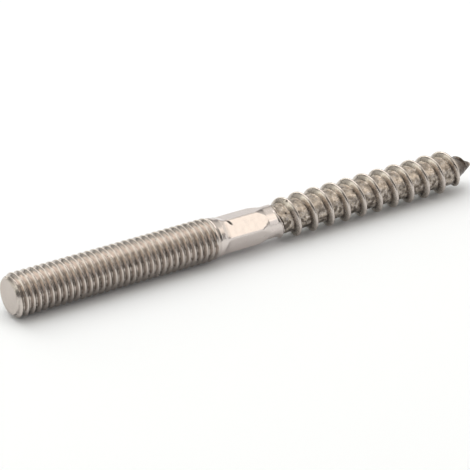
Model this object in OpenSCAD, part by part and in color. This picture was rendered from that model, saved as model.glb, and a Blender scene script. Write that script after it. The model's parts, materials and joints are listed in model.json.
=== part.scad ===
// Hanger bolt: a one-piece steel stud with a metric machine thread at one end, a coarse wood
// thread with a gimlet point at the other, and six pressed drive flats between them.
// The stud lies along X on the crests of its threads, with the machine end at -X and +Z up.
// Both threads are true right-hand helices: the machine thread is a V swept out of the bar, and
// the wood thread is a ridge swept round the core and down the point.

/* [Overall] */
// Length from the machine end face to the tip of the point
total_length = 100; // [90:1:150]

/* [Machine thread] */
// Diameter over the crests of the machine thread
machine_diameter = 8; // [7.5:0.25:10]
// Distance from one machine crest to the next
machine_pitch = 1.25; // [1:0.05:1.5]
// Length of full machine thread, from the end face
machine_length = 40; // [25:1:45]
// Length over which the machine thread fades into the shank
machine_runout = 2.3; // [2:0.1:4]
// Diameter of the flat disc on the machine end
end_face_diameter = 6.4; // [5.6:0.1:7]
// Turn of the machine thread about the axis
machine_turn = 88; // [0:1:359]

/* [Shank and drive flats] */
// How far the rolled machine crests stand above the round shank
roll_swell = 0.42; // [0.3:0.01:0.6]
// Length of round shank between the machine thread's runout and the taper
shank_length = 7.7; // [6:0.1:14]
// Depth of each pressed drive flat below the round shank
flat_depth = 0.46; // [0.2:0.01:0.6]
// Number of drive flats
flat_count = 6; // [4:2:6]
// Length of the curve on which a flat runs out toward the machine thread
flat_runout = 1.5; // [0.8:0.1:3]
// Turn of the drive flats about the axis
flat_turn = 48; // [0:1:359]
// Length of the taper from the shank to the neck
taper_length = 2; // [1:0.1:4]
// Diameter of the neck in front of the wood thread
neck_diameter = 6.2; // [6:0.1:6.8]
// Length of the neck
neck_length = 2.4; // [1.5:0.1:4]
// Length of the step from the neck down to the wood thread's root
neck_step = 0.8; // [0.4:0.1:2]

/* [Wood thread] */
// Diameter over the crests of the wood thread
wood_diameter = 8; // [7:0.25:9]
// Diameter of the core between the wood crests
wood_root_diameter = 5.7; // [5:0.1:5.9]
// Distance from one wood crest to the next
wood_pitch = 3.66; // [3:0.02:4.5]
// Width of the rounded top of the wood ridge
ridge_top = 0.5; // [0.3:0.05:0.8]
// Height of the rounding on each side of the ridge's top
ridge_round = 0.12; // [0.06:0.02:0.2]
// Angle between a flank of the wood ridge and the plane across the axis
ridge_flank = 27; // [20:1:32]
// How far in front of the neck's step the wood ridge begins
ridge_lead = 1.4; // [0.8:0.1:2]
// Length over which the wood ridge rises to its full height
ridge_rise = 5.7; // [3:0.1:9]
// Turn of the wood thread about the axis
wood_turn = 125; // [0:1:359]

/* [Point] */
// Length of the point, over which the wood ridge falls to the core
point_length = 7; // [6:0.25:10]
// Angle between the side of the point and the axis
point_angle = 27; // [22:1:32]
// Radius of the blunt tip
tip_radius = 0.45; // [0.3:0.05:0.6]
// Bare length at the tip, past the end of the wood ridge
tip_bare = 0.8; // [0.6:0.1:1.2]

/* [Hidden] */

// Radii, from the diameters above
machine_r = machine_diameter / 2;
shank_r = machine_r - roll_swell;
flat_r = shank_r - flat_depth;
neck_r = neck_diameter / 2;
wood_r = wood_diameter / 2;
root_r = wood_root_diameter / 2;
end_face_r = end_face_diameter / 2;

// Stations along the axis, from the machine end face
shank_start = machine_length + machine_runout;
taper_start = shank_start + shank_length;
neck_start = taper_start + taper_length;
step_start = neck_start + neck_length;
root_start = step_start + neck_step;
ridge_start = step_start - ridge_lead;
ridge_fall = total_length - point_length;
ridge_end = total_length - tip_bare;

// The point's cone is tangent to its blunt tip
tip_centre = total_length - tip_radius;
tangent_z = tip_centre + tip_radius * sin(point_angle);
tangent_r = tip_radius * cos(point_angle);
cone_start = tangent_z - (root_r - tangent_r) / tan(point_angle);

// Metric thread form: 60 degree flanks, with depth and crest as shares of the pitch
flank_slope = tan(30);
thread_depth = 0.6134 * machine_pitch;
crest_width = machine_pitch / 8;
groove_root_r = machine_r - thread_depth;
groove_half_root = (machine_pitch - crest_width) / 2 - thread_depth * flank_slope;

// The cutting V reaches a little past the crests, and the ridge's foot lies inside the core
cut_margin = 0.06;
groove_top_r = machine_r + cut_margin;
ridge_sink = 0.3;
core_least_r = ridge_sink + 0.02;

// A flat's runout is an arc, tangent to the flat, that rises by the flat's depth over its length
runout_r = (flat_runout ^ 2 + flat_depth ^ 2) / (2 * flat_depth);
flat_start = shank_start + flat_runout;

// Straight steps in one turn of either thread, and steps of the blunt tip's arc
turn_steps = 24;
tip_steps = 4;
curve_fn = 96;

// How far z has come from a to b, from 0 to 1
function share(z, a, b) = min(1, max(0, (z - a) / (b - a)));

// Radius of the round core under the wood ridge, root and point together
function core_r(z) =
    max(core_least_r, min(root_r, tangent_r + (tangent_z - z) * tan(point_angle)));

// Radius of the wood ridge's crest: it rises out of the neck, runs level and falls along the point
function ridge_r(z) =
    z < ridge_fall
        ? root_r + (wood_r - root_r) * sin(90 * share(z, ridge_start, ridge_start + ridge_rise))
        : tip_radius + (wood_r - tip_radius) * cos(90 * share(z, ridge_fall, ridge_end));

// Radius of the machine groove's root: level along the full thread, then out through the runout
function groove_r(z) =
    groove_root_r + (machine_r - groove_root_r) * share(z, machine_length, shank_start);

// Section of the machine groove at station z, as [offset along the axis, radius]
function groove_section(z) =
    let (r = groove_r(z), half_top = groove_half_root + (groove_top_r - r) * flank_slope)
    [
        [-groove_half_root, r],
        [-half_top, groove_top_r],
        [half_top, groove_top_r],
        [groove_half_root, r]
    ];

// Section of the wood ridge at station z: straight flanks and a rounded top
function ridge_section(z) =
    let (
        r = ridge_r(z),
        half_top = ridge_top / 2,
        half_foot = half_top + (r - core_r(z) + ridge_sink) * tan(ridge_flank)
    )
    [
        [-half_foot, core_r(z - half_foot) - ridge_sink],
        [-half_top, r - ridge_round * share(r, 0, wood_r)],
        [-half_top / 2, r],
        [half_top / 2, r],
        [half_top, r - ridge_round * share(r, 0, wood_r)],
        [half_foot, core_r(z + half_foot) - ridge_sink]
    ];

// A solid swept along a right-hand helix: one closed section at each station, turned by its angle
module helix_sweep(sections, stations, turns) {
    count = len(stations);
    corners = len(sections[0]);
    points = [
        for (i = [0:count - 1])
            for (corner = sections[i])
                [
                    corner[1] * cos(turns[i]),
                    corner[1] * sin(turns[i]),
                    stations[i] + corner[0]
                ]
    ];
    sides = [
        for (i = [0:count - 2])
            for (j = [0:corners - 1])
                let (a = i * corners + j, b = i * corners + (j + 1) % corners)
                each [[a, b, b + corners], [a, b + corners, a + corners]]
    ];
    first = [for (j = [corners - 1:-1:0]) j];
    last = [for (j = [0:corners - 1]) (count - 1) * corners + j];
    polyhedron(points = points, faces = concat(sides, [first, last]));
}

// The V groove between the machine crests, from in front of the end face to the runout's end
module machine_groove() {
    start = -machine_pitch;
    steps = ceil((shank_start - start) / machine_pitch * turn_steps);
    stations = [for (i = [0:steps]) start + i * machine_pitch / turn_steps];
    turns = [for (z = stations) machine_turn + 180 + 360 * z / machine_pitch];
    helix_sweep([for (z = stations) groove_section(z)], stations, turns);
}

// The ridge of the wood thread, with its foot sunk into the core
module wood_ridge() {
    steps = floor((ridge_end - ridge_start) / wood_pitch * turn_steps);
    stations = [for (i = [0:steps]) ridge_start + i * wood_pitch / turn_steps];
    turns = [for (z = stations) wood_turn + 360 * (z - ridge_start) / wood_pitch];
    helix_sweep([for (z = stations) ridge_section(z)], stations, turns);
}

// The bar before its threads are rolled: chamfered end, shank, taper, neck, core and point
module bar() {
    tip_arc = [
        for (i = [0:tip_steps])
            let (angle = point_angle + (90 - point_angle) * i / tip_steps)
            [tip_radius * cos(angle), tip_centre + tip_radius * sin(angle)]
    ];
    rotate_extrude($fn = curve_fn)
        polygon(concat(
            [
                [0, 0],
                [end_face_r, 0],
                [machine_r, machine_r - end_face_r],
                [machine_r, machine_length],
                [shank_r, shank_start],
                [shank_r, taper_start],
                [neck_r, neck_start],
                [neck_r, step_start],
                [root_r, root_start],
                [root_r, cone_start]
            ],
            tip_arc
        ));
}

// The metal pressed away over one drive flat: level, with a curved runout at the machine end
module flat_cut() {
    rotate([90, 0, 0])
        linear_extrude(height = machine_diameter, center = true) {
            translate([flat_r, flat_start])
                square([machine_r, neck_start - flat_start]);
            translate([flat_r + runout_r, flat_start])
                circle(r = runout_r, $fn = curve_fn);
        }
}

// The whole stud, standing on its machine end
module standing_stud() {
    difference() {
        bar();
        machine_groove();
        for (i = [0:flat_count - 1])
            rotate([0, 0, flat_turn + i * 360 / flat_count])
                flat_cut();
    }
    wood_ridge();
}

// The stud laid along X on the crests of its larger thread
module stud() {
    color("#b9b4ab")
        translate([-total_length / 2, 0, max(machine_r, wood_r)])
            rotate([0, 90, 0])
                standing_stud();
}

stud();
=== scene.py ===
# %% [markdown]
# This lesson dresses a hanger bolt: one bar of stainless steel with a machine thread rolled into one
# end, a coarse wood thread with a point rolled into the other, and six flats pressed in between for a
# spanner. The solid from the CAD model comes in first. It is the frame: the new surface has the same
# stations, radii and turns, and only adds what is too fine for it.

# %% Load the frame
import itertools
import json
import math

import bpy
import numpy as np
from mathutils import Matrix, Vector


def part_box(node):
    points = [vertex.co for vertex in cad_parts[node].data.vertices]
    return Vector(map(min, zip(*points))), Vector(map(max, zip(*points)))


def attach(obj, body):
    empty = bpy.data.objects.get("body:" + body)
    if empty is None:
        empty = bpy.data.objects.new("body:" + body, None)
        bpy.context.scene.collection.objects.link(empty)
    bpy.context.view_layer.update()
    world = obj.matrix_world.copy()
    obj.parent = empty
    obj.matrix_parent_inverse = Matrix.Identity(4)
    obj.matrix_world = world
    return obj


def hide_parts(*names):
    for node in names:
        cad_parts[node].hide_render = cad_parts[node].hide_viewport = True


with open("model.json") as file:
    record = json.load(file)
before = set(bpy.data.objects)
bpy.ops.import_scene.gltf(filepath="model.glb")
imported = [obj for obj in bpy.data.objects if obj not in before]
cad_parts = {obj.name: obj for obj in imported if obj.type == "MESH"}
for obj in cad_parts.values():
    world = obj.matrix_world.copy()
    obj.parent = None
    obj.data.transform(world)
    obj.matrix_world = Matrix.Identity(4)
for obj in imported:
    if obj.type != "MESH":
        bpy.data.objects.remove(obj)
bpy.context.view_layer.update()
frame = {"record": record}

MM = 0.001
low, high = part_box("stud")
total_length = round((high.x - low.x) / MM, 2)
axis_height = round((high.z + low.z) / 2 / MM, 2)
mounts = {mount["name"]: mount for mount in frame["record"]["mounts"]}
machine_length = mounts["machine_thread"]["dims"]["length_mm"]
crest_r = mounts["machine_thread"]["dims"]["r_mm"]
print(f"stud {total_length} mm long, axis {axis_height} mm above the floor, crests at {crest_r} mm")

# %% [markdown]
# The camera comes early, because everything after it is judged through it. A long lens from a short
# way off gives the slight perspective that makes the near end larger. The camera's place is in
# millimetres from the middle of the stud, and it looks along a direction given by two angles.

# %% Camera
camera_place = Vector((-203.47, -315.51, 195.35))
camera_azimuth = math.radians(-32.34)
camera_elevation = math.radians(27.22)
lens_mm = 176.35

right = Vector((math.cos(camera_azimuth), math.sin(camera_azimuth), 0))
forward = Vector((
    -math.sin(camera_azimuth) * math.cos(camera_elevation),
    math.cos(camera_azimuth) * math.cos(camera_elevation),
    -math.sin(camera_elevation),
))
up = right.cross(forward)
camera_data = bpy.data.cameras.new("camera")
camera_data.lens = lens_mm
camera_data.sensor_width = 36
camera_data.clip_start = 0.02
camera_data.clip_end = 20
camera = bpy.data.objects.new("camera", camera_data)
bpy.context.scene.collection.objects.link(camera)
turn = Matrix((right, up, -forward)).transposed().to_4x4()
camera.matrix_world = Matrix.Translation(camera_place * MM) @ turn
bpy.context.scene.camera = camera
print("camera at", [round(value, 4) for value in camera.location], "with a lens of", lens_mm, "mm")

# %% [markdown]
# A stud is almost a surface of revolution, so its surface is one function: the radius at a station x
# along the axis, from the machine end, and an angle round it. The pieces of that function meet through
# a few small helpers, which work on whole arrays. The soft minimum and maximum leave a small round
# where two surfaces meet, as rolling does: no edge of a rolled part is quite sharp.

# %% Helpers for shaping
def share(x, start, stop):
    """How far x has come from start to stop, from 0 to 1."""
    return np.clip((x - start) / (stop - start), 0.0, 1.0)


def ease(x, start, stop):
    """The same with a soft start and stop: three t squared less two t cubed."""
    t = share(x, start, stop)
    return t * t * (3 - 2 * t)


def soft_min(a, b, width):
    """The smaller of a and b, less a small parabola where they are closer than width."""
    close = np.clip(width - np.abs(a - b), 0.0, None)
    return np.minimum(a, b) - close * close / (4 * width)


def soft_max(a, b, width):
    """The larger of a and b, plus a small parabola where they are closer than width."""
    return -soft_min(-a, -b, width)


def wrap(x, period):
    """x less the nearest whole number of periods, from minus half a period to plus half."""
    return x - period * np.round(x / period)


def spot(x, angle, radius, place, size):
    """A round bell of height 1 at place, an (x, angle) pair, that fades over size in millimetres."""
    across = np.radians(wrap(angle - place[1], 360.0)) * radius
    return np.exp(-((x - place[0]) ** 2 + across ** 2) / size ** 2)


# %% [markdown]
# Rolled and pressed steel is never even. The unevenness here is value noise: a box of random numbers,
# drawn once from a fixed seed, blended smoothly between its corners. Stretching it along one direction
# gives the smears that a rolling die leaves.

# %% Noise on the bar
lattice_size = 64
bar_mean_r = 3.3
lattice = np.random.default_rng(8).uniform(-1, 1, (lattice_size,) * 3)


def noise(along, y, z, cell):
    """Smooth noise from -1 to 1 at points in millimetres, with lattice cells of that size: each
    point blends the eight lattice values round it, by eased shares of its place in the cell."""
    places = np.stack(np.broadcast_arrays(along, y, z)) / cell
    corner = np.floor(places).astype(int)
    inside = places - corner
    inside = inside * inside * (3 - 2 * inside)
    total = np.zeros_like(inside[0])
    for step in itertools.product((0, 1), repeat=3):
        index = [(corner[axis] + step[axis]) % lattice_size for axis in range(3)]
        shares = [inside[axis] if step[axis] else 1 - inside[axis] for axis in range(3)]
        weight = np.prod(shares, axis=0)
        total += weight * lattice[index[0], index[1], index[2]]
    return total


def bar_noise(x, angle, cell, stretch=1.0):
    """Noise on the bar's skin. The skin's radius is divided by stretch, which draws the noise out
    round the bar."""
    skin_r = bar_mean_r / stretch
    turn_angle = np.radians(angle)
    return noise(x, skin_r * np.cos(turn_angle), skin_r * np.sin(turn_angle), cell)


# %% [markdown]
# The bar under the threads is a lathe profile: the end face with its chamfer, the diameter that the
# machine thread is rolled to, the plain shank, a taper, the neck, the core of the wood thread and the
# point with its blunt tip. A profile of straight lines is just an interpolation between its corners,
# and the tip's ball is a circle.

# %% Profile of the bar
end_face_r = 3.2
machine_runout = 2.3
shank_r = 3.58
shank_length = 7.7
taper_length = 2.0
neck_r = 3.1
neck_length = 2.4
neck_step = 0.8
root_r = 2.85
point_angle = math.radians(27)
tip_r = 0.45

shank_start = machine_length + machine_runout
taper_start = shank_start + shank_length
neck_start = taper_start + taper_length
step_start = neck_start + neck_length
root_start = step_start + neck_step
tip_centre = total_length - tip_r
tangent_x = tip_centre + tip_r * math.sin(point_angle)
tangent_r = tip_r * math.cos(point_angle)
cone_start = tangent_x - (root_r - tangent_r) / math.tan(point_angle)

bar_stations = [0, crest_r - end_face_r, machine_length, shank_start, taper_start, neck_start,
                step_start, root_start, cone_start, tangent_x]
bar_radii = [end_face_r, crest_r, crest_r, shank_r, shank_r, neck_r, neck_r, root_r, root_r, tangent_r]


def bar_radius(x):
    """Radius of the plain bar: straight lines between the corners, then the tip's circle."""
    ball = np.sqrt(np.clip(tip_r ** 2 - (x - tip_centre) ** 2, 0, None))
    return np.where(x > tangent_x, ball, np.interp(x, bar_stations, bar_radii))


# %% [markdown]
# The machine thread is a V groove that runs round the bar. At each angle the crests lie a pitch apart,
# and they move along by one pitch in a full turn, so the distance from the nearest crest says
# everything: the surface climbs from the groove's rounded root at sixty degrees to the axis and rounds
# over into the bar at the crest. Toward the shank the root rises and the groove runs out.

# %% Machine thread
machine_pitch = 1.25
machine_crest_angle = -2.0
thread_depth = 0.6134 * machine_pitch
thread_crest_width = machine_pitch / 8
flank_slope = math.tan(math.radians(30))
groove_root_round = 0.14
thread_crest_round = 0.16
groove_root_r = crest_r - thread_depth
groove_half_root = (machine_pitch - thread_crest_width) / 2 - thread_depth * flank_slope


def from_machine_crest(x, angle):
    """Distance along the axis from the nearest machine crest: x less a pitch for each full turn,
    wrapped to the pitch."""
    return wrap(x - machine_pitch * (angle - machine_crest_angle) / 360, machine_pitch)


def machine_radius(x, angle):
    """Radius of the machine thread: the groove's root and flanks, rounded into the bar."""
    from_groove = machine_pitch / 2 - np.abs(from_machine_crest(x, angle))
    root = groove_root_r + (crest_r - groove_root_r) * share(x, machine_length, shank_start)
    flank = root + (from_groove - groove_half_root) / flank_slope
    groove = soft_max(root, flank, groove_root_round)
    return soft_min(bar_radius(x), groove, thread_crest_round)


# %% [markdown]
# The drive flats are pressed, not milled: each is a plane across the bar that ends in a curve at the
# thread, and it dies out by itself where the bar tapers to the neck. Six planes make a hexagon, so the
# nearest plane decides the radius at each angle.

# %% Drive flats
flat_r = 3.12
flat_angle = 18.0
flat_spacing = 60.0
flat_runout = 1.5
flat_start = shank_start + flat_runout
flat_depth = shank_r - flat_r
runout_r = (flat_runout ** 2 + flat_depth ** 2) / (2 * flat_depth)


def flat_radius(x, angle):
    """Radius of the six pressed planes: the plane's distance over the cosine of the angle to it."""
    aside = np.radians(wrap(angle - flat_angle, flat_spacing))
    before = np.clip(flat_start - x, 0, runout_r)
    plane = flat_r + runout_r - np.sqrt(runout_r ** 2 - before ** 2)
    return plane / np.cos(aside)


# %% [markdown]
# The wood thread is a ridge wound round a thinner core. It rises out of the neck, runs level and falls
# down the point. Its section has steep straight flanks and a rounded top. The dies that roll it tear
# the skin a little, so the core is smeared, the ridge's height wavers, and the neck ends in a ragged
# edge that runs round the bar at a slant. That edge is a few given stations, joined and roughened.

# %% Wood thread
wood_pitch = 3.66
wood_crest_angle = 35.0
ridge_half_top = 0.25
ridge_round = 0.12
ridge_flank = math.tan(math.radians(27))
ridge_lead = 1.4
ridge_rise = 5.7
point_length = 7.0
tip_bare = 0.8
ridge_start = step_start - ridge_lead
ridge_fall = total_length - point_length
ridge_end = total_length - tip_bare


def from_wood_crest(x, angle):
    """Distance along the axis from the nearest wood crest, found the same way from the ridge's start."""
    return wrap(x - ridge_start - wood_pitch * (angle - wood_crest_angle) / 360, wood_pitch)


def ridge_top(x):
    """Radius of the ridge's top: a quarter sine up, a level run and a quarter cosine down."""
    climbed = share(x, ridge_start, ridge_start + ridge_rise)
    fallen = share(x, ridge_fall, ridge_end)
    rise = root_r + (crest_r - root_r) * np.sin(np.pi / 2 * climbed)
    fall = tip_r + (crest_r - tip_r) * np.cos(np.pi / 2 * fallen)
    return np.minimum(rise, fall)


edge_angles = [0, 99, 132, 151, 173, 199, 260, 360]
edge_stations = [54.5, 54.05, 53.85, 54.4, 54.8, 55.1, 55.0, 54.5]
ragged = 0.12
ragged_cell = 0.5
fine_ragged = 0.05
fine_ragged_cell = 0.25


def from_torn_edge(x, angle):
    """Distance along the axis from the torn edge where the neck ends: x less the edge's station, which
    is joined up between the angles above and roughened by noise of two sizes."""
    edge = np.interp(angle % 360, edge_angles, edge_stations)
    coarse = ragged * bar_noise(0 * x, angle, ragged_cell)
    fine = fine_ragged * bar_noise(0 * x, angle, fine_ragged_cell)
    return x - edge - coarse - fine


step_run = 0.25
step_clearance = 1.0


def core_radius(x, angle):
    """Radius of neck and core: the neck drops to the core within a quarter of a millimetre."""
    step = neck_r + (root_r - neck_r) * ease(from_torn_edge(x, angle), 0, step_run)
    return np.where(x < root_start + step_clearance, step, bar_radius(x))


ridge_foot_round = 0.12
waver_height = 0.03
smear_height = 0.035
fine_smear_height = 0.02


def wood_radius(x, angle):
    """Radius of core and ridge together: the larger of the two, with a small fillet at the foot."""
    off = from_wood_crest(x, angle)
    top = ridge_top(x - off) * np.where(x - off < ridge_start, 0, 1)
    rounded = ridge_round * np.minimum(np.abs(off) / ridge_half_top, 1) ** 2
    flank = np.clip(np.abs(off) - ridge_half_top, 0, None) / ridge_flank
    waver = waver_height * (bar_noise(x, angle, cell=0.9) - 1)
    smear = smear_height * bar_noise(x, angle, cell=0.45, stretch=2.0)
    smear = smear + fine_smear_height * bar_noise(x, angle, cell=0.3)
    core = core_radius(x, angle) + smear * ease(from_torn_edge(x, angle), 0, 0.3)
    return soft_max(core, top + waver - rounded - flank, ridge_foot_round)


# %% [markdown]
# A few small hurts belong to this stud: a slanting nick at the start of the front flat, the line that
# the edge of the dies left where the machine thread ends, the torn groove along the neck's edge, and
# pits in the core behind it. Each is a bell or a band of depth that is taken off the radius. The finish
# uses the same depths, because hurts hold dirt. The last function takes nothing off: it marks the crease
# at the foot of the wood ridge, where the finish paints shade.

# %% Nick, pits and tears
nick_from = (43.75, 106.0)
nick_to = (44.6, 126.0)
nick_depth = 0.15
nick_half_width = 0.13
die_line_x = machine_length + 1.0
die_line_depth = 0.03
die_line_half_width = 0.12
die_line_waver = 0.06
tear_depth = 0.11
tear_half_width = 0.12
tear_past_edge = 0.32
pits = [(55.98, 136.5), (58.52, 147.0), (57.1, 100.0), (56.6, 172.0)]
pit_depth = 0.16
pit_size = 0.16


def nick(x, angle):
    """A narrow bell across a short slanting line, fading at the line's ends."""
    across = np.radians(wrap(angle - nick_from[1], 360.0)) * shank_r
    run = (nick_to[0] - nick_from[0], math.radians(nick_to[1] - nick_from[1]) * shank_r)
    length = math.hypot(*run)
    along = ((x - nick_from[0]) * run[0] + across * run[1]) / length
    aside = ((x - nick_from[0]) * run[1] - across * run[0]) / length
    ends = ease(along, -0.1, 0.2) * ease(along, length + 0.1, length - 0.5)
    return ends * np.exp(-(aside / nick_half_width) ** 2)


def hurt_depth(x, angle):
    """Depth of all the small hurts together, in millimetres: each depth times its bell, added up."""
    depth = nick_depth * nick(x, angle)
    from_die_line = x - die_line_x - die_line_waver * bar_noise(0 * x, angle, cell=0.8)
    depth += die_line_depth * np.exp(-(from_die_line / die_line_half_width) ** 2)
    tear = np.exp(-((from_torn_edge(x, angle) - tear_past_edge) / tear_half_width) ** 2)
    depth += tear_depth * tear * (1 + bar_noise(0 * x, angle, cell=0.6))
    for pit in pits:
        depth += pit_depth * spot(x, angle, root_r, pit, pit_size)
    return depth


crease_above_foot = 0.1
crease_half_width = 0.15
crease_shade_fade_above = 0.8


def foot_crease(x, angle):
    """A narrow band of painted shade along the wood ridge's foot on the machine side. On the upper side,
    where the light falls, it fades to a fifth."""
    off = from_wood_crest(x, angle)
    height = np.clip(ridge_top(x - off) - bar_radius(x), 0, None)
    foot = ridge_half_top + height * ridge_flank
    lit_upper_side = ease(np.sin(np.radians(angle)), 0.5, 0.95)
    band = np.exp(-((off + foot - crease_above_foot) / crease_half_width) ** 2)
    return band * ease(height, 0.1, 0.5) * (1 - crease_shade_fade_above * lit_upper_side)


# %% [markdown]
# Now the whole radius, and the grids that sample it. A grid of plain rings would cut the threads at a
# slant and leave steps on their crests. So the columns of a thread's grid run along the helix, at
# chosen shares of the pitch, and the grid is clipped at both ends to a ring. Points that fall on the
# same place are merged later, which closes the clipped ends, the seam and the two poles in one stroke.
# The flats meet the shank at a crisp edge, except where they start, which the press leaves soft.

# %% Radius of the stud and its grids
thread_end = shank_start + 0.5
wood_begin = ridge_start - 0.2
tip_begin = total_length - 1.0
angle_count = 96
first_angle = 47.125
angles = first_angle + 360.0 * np.arange(angle_count) / angle_count
flat_edge_round = 0.02
flat_start_round = 0.2


def stud_radius(x, angle):
    """Radius of the stud at station x and an angle: each stretch by its own function."""
    flats = flat_radius(x, angle)
    blend = flat_edge_round + flat_start_round * ease(x, flat_start + 0.5, flat_start - 0.7)
    plain = soft_min(bar_radius(x), flats, blend)
    machine = soft_min(machine_radius(x, angle), flats, flat_edge_round)
    wood = wood_radius(x, angle)
    whole = np.where(x < thread_end, machine, np.where(x < wood_begin, plain, wood))
    return whole - hurt_depth(x, angle)


def helix_grid(start, stop, pitch, crest_angle, crest_x, columns):
    """Stations whose columns follow a helix: each column is a share of the pitch from the crest, the
    crest moves by one pitch in a full turn, and stations outside start and stop are clipped to them."""
    turns = np.arange(math.floor((start - crest_x) / pitch) - 2, math.ceil((stop - crest_x) / pitch) + 3)
    base = crest_x + pitch * (turns[:, None] + np.asarray(columns)[None, :]).ravel()
    x = base[:, None] + pitch * (angles[None, :] - crest_angle) / 360
    return np.clip(x, start, stop), len(columns)


def ring_grid(stations):
    """Stations of plain rings: every angle of a ring has the ring's station."""
    return np.repeat(np.asarray(stations, float)[:, None], angle_count, axis=1), 0


def mirrored(shares):
    """Shares of a pitch on one side of a crest, from the crest to the root, and their mirror images."""
    other_side = [1 - value for value in reversed(shares) if 0 < value < 0.5]
    return list(shares) + other_side


machine_columns = mirrored([0, 0.045, 0.09, 0.15, 0.32, 0.42, 0.5])
flank_columns = mirrored([0, 0.025, 0.05, 0.08, 0.11, 0.14, 0.17, 0.2, 0.225])
core_columns = list(np.linspace(0.25, 0.75, 15))
wood_columns = sorted(flank_columns + core_columns)
helix_begin = root_start + 3.6
machine_grid = helix_grid(0, thread_end, machine_pitch, machine_crest_angle, 0, machine_columns)
fine_start = nick_from[0] - 0.3
fine_stop = nick_to[0] + 0.3
shank_stations = np.concatenate([
    np.arange(thread_end, fine_start, 0.12),
    np.arange(fine_start, fine_stop, 0.06),
    np.linspace(fine_stop, wood_begin, 48),
])
shank_grid = ring_grid(shank_stations)
neck_grid = ring_grid(np.linspace(wood_begin, helix_begin, 96))
wood_grid = helix_grid(helix_begin, tip_begin, wood_pitch, wood_crest_angle, ridge_start, wood_columns)
tip_angles = np.linspace(0, np.pi / 2, 13)
tip_grid = ring_grid(tip_begin + (total_length - tip_begin) * np.sin(tip_angles))
grids = (machine_grid, shank_grid, neck_grid, wood_grid, tip_grid)
print("columns:", [len(grid[0]) for grid in grids])

# %% [markdown]
# Each grid becomes points and triangles as whole arrays. Going round, the last angle of a column joins
# the first angle of the column one pitch further on, or of the same column on a plain ring. The end
# face is one more grid, of rings that shrink to the middle.

# %% Points and triangles
def grid_points(x, radius):
    """Points in metres: the radius turned by the angle, on an axis that lies above the floor."""
    turn_angles = np.radians(angles)[None, :]
    y = radius * np.cos(turn_angles)
    z = radius * np.sin(turn_angles) + axis_height
    return np.stack([x - total_length / 2, y, z], axis=-1).reshape(-1, 3) * MM


def grid_triangles(column_count, columns_per_turn, first_point):
    """Two triangles for each cell of a grid, whose seam joins the column that lies one turn on."""
    column, spoke = np.meshgrid(
        np.arange(column_count - 1 - columns_per_turn), np.arange(angle_count), indexing="ij"
    )
    over_seam = spoke == angle_count - 1
    next_spoke = np.where(over_seam, 0, spoke + 1)
    next_column = column + np.where(over_seam, columns_per_turn, 0)
    here = column * angle_count + spoke
    beside = next_column * angle_count + next_spoke
    corners = [here, beside, beside + angle_count, here + angle_count]
    quads = np.stack(corners, axis=-1).reshape(-1, 4) + first_point
    return np.concatenate([quads[:, [0, 2, 1]], quads[:, [0, 3, 2]]])


dish_depth = 0.03
face_rings = np.linspace(0, 1, 9)[:, None]
face_x = dish_depth * (1 - face_rings ** 4) * np.ones((1, angle_count))
face_radius = face_rings * stud_radius(np.zeros((1, angle_count)), angles[None, :])

points = [grid_points(face_x, face_radius)]
triangles = [grid_triangles(len(face_x), 0, 0)]
stations = [face_x.ravel()]
spokes = [np.tile(angles, len(face_x))]
for x, columns_per_turn in grids:
    first_point = sum(len(part) for part in points)
    points.append(grid_points(x, stud_radius(x, angles[None, :])))
    triangles.append(grid_triangles(len(x), columns_per_turn, first_point))
    stations.append(x.ravel())
    spokes.append(np.tile(angles, len(x)))
points = np.concatenate(points)
triangles = np.concatenate(triangles)
stations = np.concatenate(stations)
spokes = np.concatenate(spokes)

merge_step = 1e-8
keys = np.round(points / merge_step).astype(np.int64)
_, kept, moved_to = np.unique(keys, axis=0, return_index=True, return_inverse=True)
triangles = moved_to.ravel()[triangles]
whole = (
    (triangles[:, 0] != triangles[:, 1])
    & (triangles[:, 1] != triangles[:, 2])
    & (triangles[:, 2] != triangles[:, 0])
)
triangles = triangles[whole]
points = points[kept]
stations = stations[kept]
spokes = spokes[kept]
print(f"{len(points)} points and {len(triangles)} triangles")

# %% [markdown]
# The mesh goes in at the origin, so that its patterns stay put. It also carries six measures of the
# surface for the finish to read: how deep a point lies in a thread, how far it belongs to the wood
# thread, whether it is on the cut end, whether it is on the plain stretch that was pressed, how much
# dirt and painted shade it holds, and how much the root film is strengthened as painted shade. Dirt lies
# in the nick, pits and tears; painted shade lies in the crease along the foot of the wood ridge; and
# the point just behind the tip is darkened. The film is painted thicker on the lower side, as shade,
# and thinner on the top of the machine thread, as painted light.

# %% The stud as a mesh
mesh = bpy.data.meshes.new("stud_steel")
mesh.from_pydata(points.tolist(), [], triangles.tolist())
mesh.validate()
mesh.shade_smooth()
mesh.set_sharp_from_angle(angle=math.radians(50))
surface_r = np.hypot(points[:, 1], points[:, 2] - axis_height * MM) / MM
machine_share = ease(stations, 0.05, 0.3) * (1 - ease(stations, machine_length - 0.5, shank_start + 0.3))
wood_share = ease(from_torn_edge(stations, spokes), 0, 0.4)
machine_depth = share(crest_r - surface_r, 0, thread_depth) * machine_share
wood_depth = share(crest_r - surface_r, 0, crest_r - root_r) * wood_share
# Painted shade: a dark band in the crease at the wood ridge's foot, fading on the lit upper side.
crease_shade_strength = 0.8
painted_crease_shade = crease_shade_strength * foot_crease(stations, spokes) * wood_share
# The point just behind the tip is darkened.
tip_darkening = 0.95
tip_dark_band = tip_darkening * ease(stations, ridge_fall + 2.0, ridge_fall + 3.2)
tip_dark_band *= ease(stations, total_length - 0.4, total_length - 0.8)
dents = share(hurt_depth(stations, spokes), 0.02, 0.12)
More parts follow.
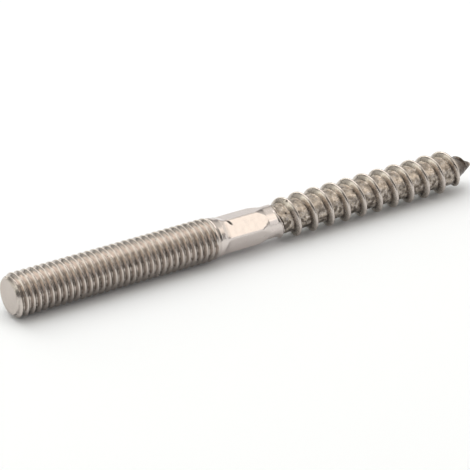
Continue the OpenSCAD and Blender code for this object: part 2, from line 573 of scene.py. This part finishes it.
# Painted shade and light: the root film is thickened on the lower side and thinned on top of the machine
# thread.
lower_side = ease(np.sin(np.radians(spokes)), 0.5, 0.2)
shade_painted_below = 0.5
light_painted_above = 0.2
painted_lower_shade = 1 + shade_painted_below * lower_side - light_painted_above * machine_share * (1 - lower_side)
measures = {
    "thread_depth": np.maximum(machine_depth, wood_depth),
    "wood_share": wood_share,
    "cut_end": (stations < 0.06) * 1.0,
    "pressed": (1 - machine_share) * (1 - wood_share) * (stations > 1),
    "dirt_and_shade_mask": np.maximum(np.maximum(dents, painted_crease_shade), tip_dark_band),
    "painted_lower_shade": painted_lower_shade,
}
for name, values in measures.items():
    attribute = mesh.attributes.new(name, "FLOAT", "POINT")
    attribute.data.foreach_set("value", values.astype(np.float32))
stud = bpy.data.objects.new("stud_surface", mesh)
bpy.context.scene.collection.objects.link(stud)
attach(stud, "root")
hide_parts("stud")
print("surface from", points.min(axis=0).round(5), "to", points.max(axis=0).round(5))

# %% [markdown]
# A finish is a small graph of nodes. Two helpers are enough to write one down: the first turns a colour
# given as an sRGB hex value into the linear numbers that a renderer works with, and the
# second adds a node with its settings and links.

# %% Colour and node helpers
def linear(hex_colour):
    """Linear RGBA of an sRGB hex colour: each channel through the sRGB curve."""
    values = [int(hex_colour[start:start + 2], 16) / 255 for start in (1, 3, 5)]
    curve = [v / 12.92 if v <= 0.04045 else ((v + 0.055) / 1.055) ** 2.4 for v in values]
    return (*curve, 1.0)


def add_node(tree, kind, settings=None, **inputs):
    """Adds a node: settings are its own properties, and each input is a value or a socket to link."""
    node = tree.nodes.new(kind)
    for name, value in (settings or {}).items():
        setattr(node, name, value)
    for name, value in inputs.items():
        key = int(name[1:]) if name[0] == "i" and name[1:].isdigit() else name.replace("_", " ")
        if isinstance(value, bpy.types.NodeSocket):
            tree.links.new(value, node.inputs[key])
        else:
            node.inputs[key].default_value = value
    return node


# %% [markdown]
# Stainless steel has a warm grey colour of its own, and most else that shows is reflection. The
# shank and its flats were pressed between smooth dies, which leaves them the brightest. The machine
# thread is satin. The wood thread was rolled deeper, so its core is torn, duller and mottled. The roots
# of both threads hold a patchy brown film of oil and die wear, which is also painted shade: it deepens
# with the thread's depth and is painted thicker on the lower side. The hurts hold dark dirt, and the
# same dark tone paints shade into the crease at the wood ridge's foot and darkens the point behind the
# tip.
# So colour and roughness both follow the measures on the mesh.

# %% Rolled stainless steel
steel = bpy.data.materials.new("rolled_stainless_steel")
steel.use_nodes = True
tree = steel.node_tree
tree.nodes.clear()
place = add_node(tree, "ShaderNodeTexCoord").outputs["Object"]
depth = add_node(tree, "ShaderNodeAttribute", {"attribute_name": "thread_depth"}).outputs["Fac"]
wood = add_node(tree, "ShaderNodeAttribute", {"attribute_name": "wood_share"}).outputs["Fac"]
cut = add_node(tree, "ShaderNodeAttribute", {"attribute_name": "cut_end"}).outputs["Fac"]
dirt_and_shade_mask = add_node(tree, "ShaderNodeAttribute", {"attribute_name": "dirt_and_shade_mask"}).outputs["Fac"]
pressed = add_node(tree, "ShaderNodeAttribute", {"attribute_name": "pressed"}).outputs["Fac"]
lower_shade_factor = add_node(tree, "ShaderNodeAttribute", {"attribute_name": "painted_lower_shade"}).outputs["Fac"]

mottle_mm = 0.9
mottle = add_node(tree, "ShaderNodeTexNoise", Vector=place, Scale=1 / (mottle_mm * MM), Detail=4.0)
grain_mm = 0.25
grain = add_node(tree, "ShaderNodeTexNoise", Vector=place, Scale=1 / (grain_mm * MM), Detail=3.0)

rolled = linear("#cac1ba")
burnished = linear("#dad1cc")
# The root film colour is an oil film and painted shade together; its share deepens with thread depth.
root_film_and_shade = linear("#50473f")
torn = linear("#bdae99")
# Dark tone: real dirt in the nick, pits and tears, painted shade in the crease at the wood ridge's foot,
# and the darkened tip.
dirt_and_shade_tone = linear("#2e1f18")
root_film_and_shade_place = add_node(tree, "ShaderNodeMapRange", Value=depth, From_Min=0.35, From_Max=1.0, To_Max=0.6)
film_and_shade_patch = add_node(
    tree, "ShaderNodeMapRange", Value=mottle.outputs["Fac"], From_Min=0.35, From_Max=0.6
)
film_and_lower_shade = add_node(
    tree, "ShaderNodeMath", {"operation": "MULTIPLY"},
    i0=root_film_and_shade_place.outputs["Result"], i1=lower_shade_factor,
)
film_and_shade_share = add_node(
    tree, "ShaderNodeMath", {"operation": "MULTIPLY"},
    i0=film_and_lower_shade.outputs["Value"], i1=film_and_shade_patch.outputs["Result"],
)
bright = add_node(
    tree, "ShaderNodeMix", {"data_type": "RGBA"}, i0=pressed, i6=rolled, i7=burnished
)
torn_patch = add_node(
    tree, "ShaderNodeMapRange", Value=grain.outputs["Fac"], From_Min=0.4, From_Max=0.7
)
torn_place = add_node(tree, "ShaderNodeMath", {"operation": "MULTIPLY"}, i0=wood, i1=depth)
torn_share = add_node(
    tree, "ShaderNodeMath", {"operation": "MULTIPLY"},
    i0=torn_place.outputs["Value"], i1=torn_patch.outputs["Result"],
)
torn_colour = add_node(
    tree, "ShaderNodeMix", {"data_type": "RGBA"},
    i0=torn_share.outputs["Value"], i6=bright.outputs[2], i7=torn,
)
film_and_shade_colour = add_node(
    tree, "ShaderNodeMix", {"data_type": "RGBA"},
    i0=film_and_shade_share.outputs["Value"], i6=torn_colour.outputs[2], i7=root_film_and_shade,
)
dirt_and_shade_cover = 0.85
dirt_and_shade_share = add_node(tree, "ShaderNodeMath", {"operation": "MULTIPLY"}, i0=dirt_and_shade_mask, i1=dirt_and_shade_cover)
steel_colour = add_node(
    tree, "ShaderNodeMix", {"data_type": "RGBA"},
    i0=dirt_and_shade_share.outputs["Value"], i6=film_and_shade_colour.outputs[2], i7=dirt_and_shade_tone,
)
gloss = add_node(
    tree, "ShaderNodeMapRange", Value=mottle.outputs["Fac"],
    From_Min=0.3, From_Max=0.7, To_Min=0.18, To_Max=0.28,
)
torn_dulling = 0.25
dull = add_node(
    tree, "ShaderNodeMath", {"operation": "MULTIPLY_ADD"},
    i0=torn_share.outputs["Value"], i1=torn_dulling, i2=gloss.outputs["Result"],
)
cut_dulling = 0.25
duller = add_node(
    tree, "ShaderNodeMath", {"operation": "MULTIPLY_ADD"},
    i0=cut, i1=cut_dulling, i2=dull.outputs["Value"],
)
bump_height = add_node(
    tree, "ShaderNodeMath", {"operation": "MULTIPLY"},
    i0=grain.outputs["Fac"], i1=root_film_and_shade_place.outputs["Result"],
)
bump = add_node(
    tree, "ShaderNodeBump", Height=bump_height.outputs["Value"], Strength=0.5, Distance=0.00003
)
shader = add_node(
    tree, "ShaderNodeBsdfPrincipled", Base_Color=steel_colour.outputs[2], Metallic=1.0,
    Roughness=duller.outputs["Value"], Normal=bump.outputs["Normal"],
)
add_node(tree, "ShaderNodeOutputMaterial", Surface=shader.outputs["BSDF"])
mesh.materials.append(steel)
print("finish:", steel.name, "with", len(tree.nodes), "nodes")

# %% [markdown]
# The stage is a wide sheet of white paper, lit well enough to come out white. It has no gloss, so all
# that it does to the stud is to throw light up at it and to take its shadow.

# %% Floor
floor_half = 3.0
floor_mesh = bpy.data.meshes.new("floor")
floor_mesh.from_pydata(
    [(-floor_half, -floor_half, 0), (floor_half, -floor_half, 0),
     (floor_half, floor_half, 0), (-floor_half, floor_half, 0)],
    [], [(0, 1, 2, 3)],
)
floor = bpy.data.objects.new("floor", floor_mesh)
bpy.context.scene.collection.objects.link(floor)
paper = bpy.data.materials.new("white_paper")
paper.use_nodes = True
tree = paper.node_tree
tree.nodes.clear()
sheet = add_node(tree, "ShaderNodeBsdfDiffuse", Color=linear("#f7fafe"))
add_node(tree, "ShaderNodeOutputMaterial", Surface=sheet.outputs["BSDF"])
floor_mesh.materials.append(paper)
print("floor", 2 * floor_half, "m wide")

# %% [markdown]
# Metal looks like what surrounds it, so this step builds a room rather than a light. The ceiling is
# bright and the walls are dim, except for a white one on the right, and the side round the camera is
# dimmer still. Seven soft boxes stand in that room. The one overhead lights the paper. The warm one in
# front on the right is what the middle flat mirrors, and the card below it shows in the lower half of
# the neck. The top of the stud mirrors the two at the back, and the flanks of both threads mirror the
# box and the card on the left. Each box is given by its direction and size and by the brightness of its
# face, where 1 is white paper.

# %% Light
def soft_box(name, direction, distance, width, height, level, colour):
    """A rectangular area lamp that faces the middle of the stud. A face of brightness level gives off
    level times pi times its area in watts."""
    lamp = bpy.data.lights.new(name, "AREA")
    lamp.shape = "RECTANGLE"
    lamp.size = width
    lamp.size_y = height
    lamp.energy = level * math.pi * width * height
    lamp.color = linear(colour)[:3]
    holder = bpy.data.objects.new(name, lamp)
    bpy.context.scene.collection.objects.link(holder)
    toward = Vector(direction).normalized()
    holder.location = toward * distance
    holder.rotation_euler = (-toward).to_track_quat("-Z", "Y").to_euler()


# Name, direction, distance, width and height in metres, brightness and colour of each box
soft_box("top_box", (0.0, 0.4, 0.92), 0.9, 0.7, 1.1, 1.5, "#fffdfa")
soft_box("front_box", (0.59, -0.43, 0.68), 0.8, 0.56, 0.48, 0.69, "#fff3e4")
soft_box("back_box", (-0.08, 0.92, 0.38), 0.9, 0.6, 0.6, 1.5, "#fcfcf4")
soft_box("back_card", (0.5, 0.84, 0.2), 0.9, 0.34, 0.46, 0.72, "#ffffff")
soft_box("left_box", (-0.942, 0.166, 0.292), 0.9, 0.5, 0.45, 1.45, "#fafcf2")
soft_box("left_card", (-0.75, 0.63, 0.17), 0.9, 0.5, 0.35, 0.5, "#fcfcf4")
soft_box("front_card", (0.49, -0.81, 0.31), 0.9, 0.4, 0.5, 0.9, "#ffffff")
world = bpy.data.worlds.new("studio")
bpy.context.scene.world = world
world.use_nodes = True
tree = world.node_tree
tree.nodes.clear()
toward = add_node(tree, "ShaderNodeTexCoord").outputs["Generated"]
parts = add_node(tree, "ShaderNodeSeparateXYZ", Vector=toward)
wall_level = 0.15
ceiling_level = 0.85
walls = add_node(
    tree, "ShaderNodeMapRange", {"interpolation_type": "SMOOTHSTEP"}, Value=parts.outputs["Z"],
    From_Min=0.4, From_Max=0.7, To_Min=wall_level, To_Max=ceiling_level,
)
right_wall = add_node(
    tree, "ShaderNodeMapRange", {"interpolation_type": "SMOOTHSTEP"}, Value=parts.outputs["X"],
    From_Min=0.7, From_Max=0.9, To_Min=0.0, To_Max=1.0,
)
lit_room = add_node(
    tree, "ShaderNodeMath", {"operation": "MAXIMUM"},
    i0=walls.outputs["Result"], i1=right_wall.outputs["Result"],
)
dark_centre = Vector((-0.36, -0.8, 0.48))
dark_edge = math.cos(math.radians(52))
dark_core = math.cos(math.radians(30))
facing = add_node(
    tree, "ShaderNodeVectorMath", {"operation": "DOT_PRODUCT"}, i0=toward, i1=dark_centre
)
dark_side = add_node(
    tree, "ShaderNodeMapRange", {"interpolation_type": "SMOOTHSTEP"}, Value=facing.outputs["Value"],
    From_Min=dark_edge, From_Max=dark_core, To_Min=1.0, To_Max=0.45,
)
level = add_node(
    tree, "ShaderNodeMath", {"operation": "MULTIPLY"},
    i0=lit_room.outputs["Value"], i1=dark_side.outputs["Result"],
)
sky = add_node(tree, "ShaderNodeBackground", Strength=level.outputs["Value"], Color=linear("#fffcf6"))
add_node(tree, "ShaderNodeOutputWorld", Surface=sky.outputs["Background"])
bpy.context.scene.view_settings.view_transform = "Standard"
print("lamps:", [light.name for light in bpy.data.lights])
